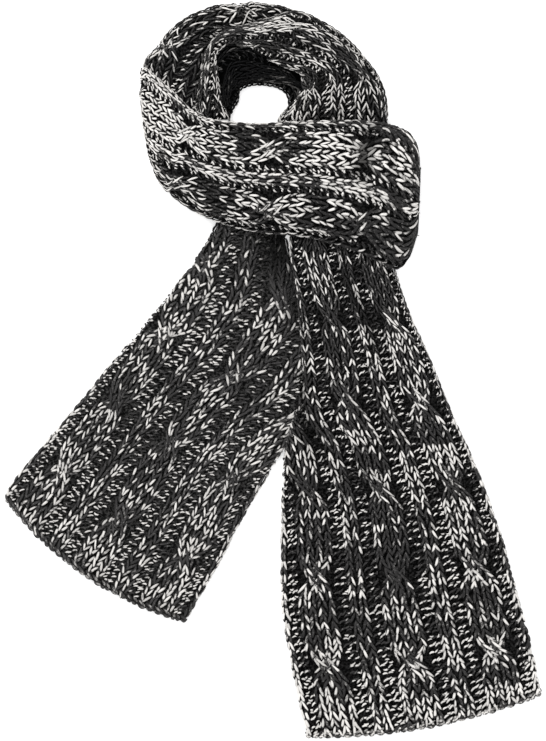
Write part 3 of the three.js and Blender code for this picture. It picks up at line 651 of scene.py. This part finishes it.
# Front band, from its fold at the right to its turn over the left side
bandSections = [
    [121.5, 113.5, 124, 174, 0.2, 22.8, 12, 0, 0, 14, 14, 0],
    [118, 103.5, 122.5, 186.5, 0.2, 22.8, 20, 0, 3, 18, 18, 0],
    [113, 93, 118, 197, 0.2, 22.8, 26, 4, 9, 22, 20, 0],
    [103, 85.5, 107, 205.5, 0.2, 22.8, 31, 10.8, 12.8, 26, 20, 0],
    [75, 98.5, 78, 211, 0.2, 22.8, 32, 10.8, 12.8, 28, 18, 0],
    [30, 111.5, 31.5, 210.5, 0.2, 22.8, 33, 10.8, 12.8, 28, 18, 0],
    [-21, 118, -18.5, 208.5, 0.2, 22.8, 32.5, 10.8, 12.8, 28, 18, 0],
    [-60, 130.5, -57, 213, 0.2, 22.8, 30, 9.6, 12.8, 28, 18, 0],
    [-85, 146, -69, 219.5, 0.2, 22.8, 27, 2, 12.5, 28, 14, 0],
    [-100, 165, -78, 228.5, 3.5, 22.8, 25.5, 0, 13, 26, 12, 0],
    [-107.5, 187, -88.5, 239, 6, 22.8, 24.5, 0, 13.5, 22, 10, 0],
    [-111.5, 210, -98, 248, 10, 22.8, 23.5, 0, 13.5, 17, 8, 0],
    [-113.5, 231, -106, 255, 14, 22.8, 22, 0, 12, 11, 5, 0],
    [-113.3, 247, -110, 259, 18, 22.8, 18, 0, 8, 6, 3, 0],
]
frontBand = layOut({
    "name": "front_band", "replaces": ["front_band"], "slot": "knit_band", "flat": False, "hem": False,
    "sections": bandSections, "folds": [[20.5, 6.8, 10, 8.2, 6, 4]],
    "row": 6.5, "firstCrossing": 7.5, "hand": 1, "apex": 1, "rowsShown": (-1, 46),
    "unevenness": 0.6, "streaks": 0.25, "seed": 23, "dark": "#323131", "pale": "#f4f1ed", "purlLight": 0.8,
    # light share: lower towards wale 0, the band's lower edge where it turns under, as painted shade there
    "light": lambda wale, row: (0.58 + 0.1 * np.exp(-(((wale - 15) / 3) ** 2))
                                - 0.14 * np.clip((9 - wale) / 3, 0, 1) - 0.2 * np.clip(8 - row, 0, 1)
                                + 0.28 * np.clip((row - 25) / 6, 0, 1)),
    "fan": (36, 0.05), "purlWidth": 5, "ribWidth": 10, "cableWidth": 28, "edgeWidth": 12,
    "strand": 8, "fleckSize": 0.85,
    "cut": (0.13, 0.26), "cutArea": 0.03, "held": "folded", "restsOn": ["right_tail", "left_tail"],
})
frontBand["shown"] = (-1.0, frontBand["length"])
dress(frontBand)

# Outer loop, up from under the band at the left and round the outside of the top
outerLoop = layOut({
    "name": "outer_loop", "replaces": ["outer_loop"], "slot": "knit_loop", "flat": False, "hem": False,
    "sections": [
        [-100, 232, -64, 207, 2, 14.5, 12, 3, 5, 18, 18, 0],
        [-108, 247, -61.5, 224, 2, 14, 17, 0, 7, 20, 18, 0],
        [-110, 262, -58.5, 243, 2, 13, 20, 0, 7, 22, 18, 0],
        [-99.5, 276, -54.5, 266, 2, 11.5, 19.5, 0, 7, 18, 18, 0],
        [-75, 299, -46, 280, 2, 10, 18, 0, 7, 15, 16, 0],
        [-39, 312, -28, 287.5, 2, 8, 16.5, 0, 7, 11, 12, 0],
        [1.5, 310.5, 1, 296, 2, 6, 12.5, 0, 5, 6, 8, 0],
        [18.5, 307, 13.5, 298, 2, 4, 8, 0, 3, 4, 5, 0],
    ],
    "folds": [], "row": 5.2, "firstCrossing": 10, "hand": 1, "apex": 1, "purlWidth": 8, "strand": 8,
    "rowsShown": (0, 60), "unevenness": 0.6, "streaks": 0.3, "seed": 24, "dark": "#343333", "pale": "#efece8",
    "purlLight": 1.0, "light": lambda wale, row: 0.46 + 0 * wale,
    "cut": (0.07, 0.165), "cutArea": 0.0085, "held": "folded", "restsOn": ["hidden_layers"],
})
outerLoop["shown"] = (0.0, outerLoop["length"])
dress(outerLoop)

# Inner loop, up from under the band at the right, over the top and down the left of the neck hole
innerLoop = layOut({
    "name": "inner_loop", "replaces": ["inner_loop"], "slot": "knit_loop", "flat": False, "hem": False,
    "sections": [
        [13.5, 178, 97, 178, 2, 19, 10, 0, 0, 10, 14, 0],
        [2.5, 210.5, 97.5, 208.5, 0, 19, 11.6, 0, 0, 9, 18, 0],
        [12, 224, 96, 229, 0, 20, 20, 0, 0, 14, 24, 0],
        [21.5, 236, 90, 247.5, 2, 20.5, 24, 12, 0, 12, 28, 0],
        [23, 248.5, 78, 264.5, 4, 21, 26, 17, 0, 11, 28, 0],
        [8.5, 255.5, 63.5, 281, 5, 21.5, 26.5, 18, 0, 10, 28, 0],
        [-5, 262, 43, 295.5, 6, 22, 26.5, 18, 0, 9, 26, 0],
        [-14.5, 269, 18.5, 304, 7, 21, 25.5, 18, 8, 8, 18, 0],
        [-21.5, 272.5, -7, 297, 8, 20.5, 25, 18, 10, 8, 11, 0],
        [-29, 275, -24, 292.5, 9, 20, 24.5, 18, 10, 8, 8, 0],
        [-39, 275, -42, 287, 10, 19.5, 23.5, 18, 10, 5.5, 6, 0],
        [-48.5, 266.5, -58, 271.5, 10, 19, 22, 17, 10, 4.5, 5.5, 0],
        [-47.5, 250.5, -63, 250.5, 9, 18, 20, 14, 8, 6, 8, 0],
        [-44, 232.5, -67.5, 229, 8, 17, 15, 9, 6, 10, 10, 0],
        [-38.5, 217, -66.5, 214, 8, 17, 12, 3, 5, 11, 10, 0],
        [-31, 200, -59.5, 198.5, 8, 16, 10.5, 2, 4, 10, 10, 0],
    ],
    "folds": [[10.5, 20.8, 14, 21.5, 6, 3]], "purlWidth": 9, "strand": 8.5,
    "row": 5.2, "firstCrossing": 12.7, "hand": 1, "apex": 1, "rowsShown": (2, 70),
    "unevenness": 0.6, "streaks": 0.4, "seed": 25, "dark": "#343333", "pale": "#ebe8e4", "purlLight": 1.0,
    # light share: high on the cable crossing near row 26, and lower near wale 10, row 29, as painted shade
    # beside it
    "light": lambda wale, row: (0.42 + 0.45 * np.exp(-(((wale - 15.5) / 2.4) ** 2) - ((row - 26) / 3.4) ** 2)
                                + 0.08 * np.clip((17 - row) / 4, 0, 1)
                                - 0.16 * np.exp(-(((wale - 10) / 3) ** 2) - ((row - 29) / 6) ** 2)),
    "cut": (0.1, 0.235), "cutArea": 0.016, "held": "folded", "restsOn": ["hidden_layers"],
})
innerLoop["shown"] = (innerLoop["along"][1] - 10, innerLoop["along"][14] + 4)
dress(innerLoop)

# Lower layer, sloping down to the neck hole: its near-black yarn and ground are partly the yarn's own dark
# and partly painted shade, the deep shadow under the loop's lip
lowerLoop = layOut({
    "name": "lower_loop", "replaces": ["lower_loop"], "slot": "knit_shade", "flat": False, "hem": False,
    "sections": [
        [10, 220, 20, 222, 10, 14, 8, 0, 7, 8, 1, 0],
        [12.8, 225.5, 25.5, 229.5, 10, 15, 9.5, 0, 8.5, 11, 1, 0],
        [10.5, 235, 27, 243, 10, 17, 13, 0, 12, 14, 1, 0],
        [3, 240, 19.5, 256.5, 10, 19, 16, 0, 15, 18, 1, 0],
        [-10, 242.5, -1.5, 266.5, 10, 20, 17, 0, 16, 22, 1, 0],
        [-22, 241.5, -22, 276.5, 10, 21, 17, 0, 16, 26, 1, 0],
        [-29, 237.5, -41, 276, 10, 21, 17, 0, 16, 26, 1, 0],
        [-30.5, 228.5, -52.5, 258, 10, 20, 15, 0, 14, 24, 1, 0],
        [-35, 221.5, -50, 236, 10, 17, 12, 0, 11, 16, 1, 0],
        [-39, 213, -46.5, 219, 10, 13, 9, 0, 8, 8, 1, 0],
    ],
    "folds": [], "ground": deepKnit,
    "row": 6.0, "firstCrossing": 4, "hand": 1, "apex": 1, "rowsShown": (0, 26),
    # near-black plies and a small light share: partly painted shade under the loop's lip
    "unevenness": 0.4, "streaks": 0.3, "seed": 26, "dark": "#0f0f10", "pale": "#6f6d6b", "purlLight": 0.6,
    "light": lambda wale, row: 0.1 + 0 * wale,
    "cut": (0.05, 0.12), "cutArea": 0.0045, "held": "folded", "restsOn": ["hidden_layers"],
})
lowerLoop["shown"] = (0.0, lowerLoop["length"])
dress(lowerLoop)


# The layers that the band and the loop hide: rounded stacks, their edges showing each fold. In mm, with
# what each stack fills: a stretch, from and to where along it, and whether it lies in shade
folded = {
    "name": "folded_layers", "step": 6, "inset": 1.5, "rest": 0.4, "under": 3.4, "bulge": 1.3, "pointsUp": 25,
    "stacks": [(frontBand, 1.5, frontBand["along"][11], 0), (outerLoop, 24, 120, 1),
               (innerLoop, innerLoop["along"][1], innerLoop["along"][13], 1)],
}


def foldedStack(piece, low, high):
    distance = np.linspace(low, high, max(int((high - low) / folded["step"]), 3))
    s = sectionsAt(piece, distance)
    inset = np.minimum(knit["cloth"] + folded["inset"], s["width"] * 0.4)
    steps = np.linspace(0, 1, folded["pointsUp"])[None, :]

    def side(foot):  # across and height up one edge, each layer bulging out
        height = folded["rest"] + (s["top"] - knit["cloth"] - folded["under"])[:, None].clip(1) * steps
        bulge = folded["bulge"] * np.abs(np.sin(math.pi * height / knit["cloth"])) ** 0.6
        taper = (inset + 0.35 * s[foot])[:, None] * steps**3
        return inset[:, None] * 0.55 - bulge + taper, height

    (acrossA, heightA), (acrossB, heightB) = side("roundA"), side("roundB")
    across = np.concatenate([acrossA, (s["width"][:, None] - acrossB)[:, ::-1]], 1)
    height = np.concatenate([heightA, heightB[:, ::-1]], 1)
    across = np.clip(across, 0.5, s["width"][:, None] - 0.5)
    dx, dy = (s["bx"] - s["ax"]) / s["width"], (s["by"] - s["ay"]) / s["width"]
    x = s["ax"][:, None] + dx[:, None] * across
    y = s["ay"][:, None] + dy[:, None] * across
    return np.stack([x, y, height], -1) * mm


def makeFolded():
    points, faces, shades, start = [], [], [], 0
    for piece, low, high, shade in folded["stacks"]:
        stack = foldedStack(piece, low, high)
        rows, count = stack.shape[:2]
        index = start + np.arange(rows * count).reshape(rows, count)
        turned = np.roll(index, -1, axis=1)
        faces += quads(index[:-1], turned[:-1], turned[1:], index[1:])
        faces += [index[0][::-1].tolist(), index[-1].tolist()]  # both ends
        shades += [shade] * (len(faces) - len(shades))
        points.append(stack.reshape(-1, 3))
        start += rows * count
    thing = meshObject(folded["name"], np.concatenate(points), faces)
    facesOut(thing)
    thing.data.materials.append(greyKnit)
    thing.data.materials.append(deepKnit)
    thing.data.polygons.foreach_set("material_index", shades)
    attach(thing, "root")
    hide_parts("hidden_layers")


makeFolded()
print("hidden layers stacked")


# Floor, world and lamps: a white sweep under soft studio light; lamps as watts, size and place
studio = {"floor": 60, "paper": "#f4f4f4", "glow": 0.5, "world": 0.66, "aim": (0, 0.02, 0),
          "lamps": {"key": (34, 1.2, (-1.1, 1.3, 1.9)), "fill": (13, 1.6, (1.3, -0.9, 1.8))}}


def makeStudio():
    bpy.ops.mesh.primitive_plane_add(size=studio["floor"], location=(0, 0, 0))
    floor = bpy.context.object
    floor.name = "floor"
    paper = bpy.data.materials.new("matt_white_paper")
    paper.use_nodes = True
    shader = paper.node_tree.nodes["Principled BSDF"]
    shader.inputs["Base Color"].default_value = linear(studio["paper"])
    shader.inputs["Roughness"].default_value = 0.9
    shader.inputs["Emission Color"].default_value = (1, 1, 1, 1)  # a sweep lit from below too
    shader.inputs["Emission Strength"].default_value = studio["glow"]
    floor.data.materials.append(paper)
    world = bpy.data.worlds.new("studio")
    bpy.context.scene.world = world
    world.use_nodes = True
    world.node_tree.nodes["Background"].inputs["Color"].default_value = (1, 1, 1, 1)
    world.node_tree.nodes["Background"].inputs["Strength"].default_value = studio["world"]
    for name, (energy, size, place) in studio["lamps"].items():
        data = bpy.data.lights.new(name, "AREA")
        data.energy, data.size = energy, size
        lamp = bpy.data.objects.new(name, data)
        lamp.location = place
        lamp.rotation_euler = (Vector(studio["aim"]) - Vector(place)).to_track_quat("-Z", "Y").to_euler()
        bpy.context.scene.collection.objects.link(lamp)
    bpy.context.scene.view_settings.view_transform = "Standard"


makeStudio()
print("studio lit")
